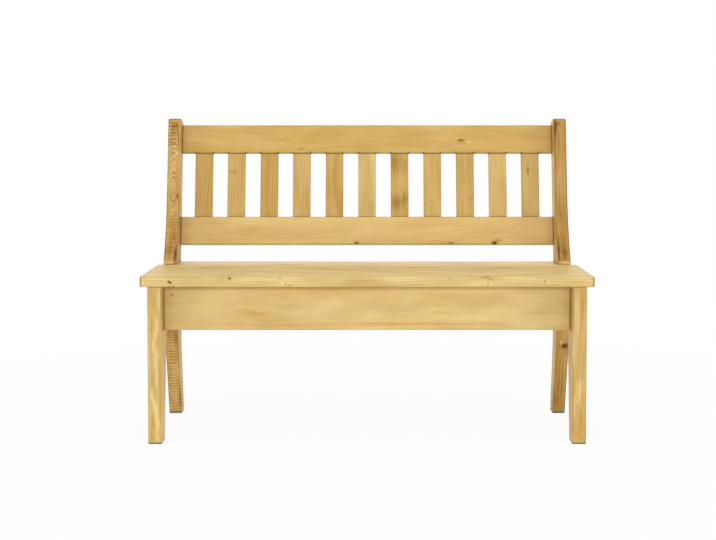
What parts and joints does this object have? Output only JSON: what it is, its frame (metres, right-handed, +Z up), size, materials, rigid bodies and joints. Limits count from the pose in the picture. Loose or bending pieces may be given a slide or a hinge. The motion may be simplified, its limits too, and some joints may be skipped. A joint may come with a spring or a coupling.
{
  "type": "dining bench",
  "caption": "Pine dining bench: swept rear posts carry a leaning slatted back, with a plank seat notched round them, a deep front apron and tapered front legs.",
  "frame": {"origin": "on the floor, under the middle of the bench's plan", "axes": "+X along the seat to the sitter's left, which is right in the front view, +Y from the front edge to the back, +Z up"},
  "size_m": [1.2, 0.5146, 0.868],
  "materials": {
    "pine_post": "honey wax on pine, end grain and oblique grain darker",
    "pine_leg": "honey wax on pine, satin",
    "pine_rail": "honey wax on pine, satin",
    "pine_slat": "honey wax on pine, satin",
    "pine_seat": "honey wax on pine, satin",
    "pine_apron": "honey wax on pine, satin",
    "pine_frame": "planed pine, thinly waxed",
    "screw_steel": "zinc-plated steel"
  },
  "bodies": {
    "root": {"back_slat_01": "pine_slat", "back_slat_02": "pine_slat", "back_slat_03": "pine_slat", "back_slat_04": "pine_slat", "back_slat_05": "pine_slat", "back_slat_06": "pine_slat", "back_slat_07": "pine_slat", "back_slat_08": "pine_slat", "back_slat_09": "pine_slat", "back_slat_10": "pine_slat", "back_slat_11": "pine_slat", "corner_block_front_left": "pine_frame", "corner_block_front_right": "pine_frame", "corner_block_rear_left": "pine_frame", "corner_block_rear_right": "pine_frame", "corner_block_screw_01": "screw_steel", "corner_block_screw_02": "screw_steel", "corner_block_screw_03": "screw_steel", "corner_block_screw_04": "screw_steel", "corner_block_screw_05": "screw_steel", "corner_block_screw_06": "screw_steel", "corner_block_screw_07": "screw_steel", "corner_block_screw_08": "screw_steel", "crest_rail": "pine_rail", "front_apron": "pine_apron", "front_leg_left": "pine_leg", "front_leg_right": "pine_leg", "lower_back_rail": "pine_rail", "rear_apron": "pine_frame", "rear_post_left": "pine_post", "rear_post_right": "pine_post", "seat_batten_left": "pine_frame", "seat_batten_right": "pine_frame", "seat_batten_screw_01": "screw_steel", "seat_batten_screw_02": "screw_steel", "seat_batten_screw_03": "screw_steel", "seat_batten_screw_04": "screw_steel", "seat_batten_screw_05": "screw_steel", "seat_batten_screw_06": "screw_steel", "seat_board_1": "pine_seat", "seat_board_2": "pine_seat", "seat_board_3": "pine_seat", "seat_cleat_left": "pine_frame", "seat_cleat_right": "pine_frame", "seat_cleat_screw_01": "screw_steel", "seat_cleat_screw_02": "screw_steel", "seat_cleat_screw_03": "screw_steel", "seat_cleat_screw_04": "screw_steel", "seat_cleat_screw_05": "screw_steel", "seat_cleat_screw_06": "screw_steel", "seat_cleat_screw_07": "screw_steel", "seat_cleat_screw_08": "screw_steel", "side_rail_left": "pine_frame", "side_rail_right": "pine_frame"}
  },
  "joints": []
}
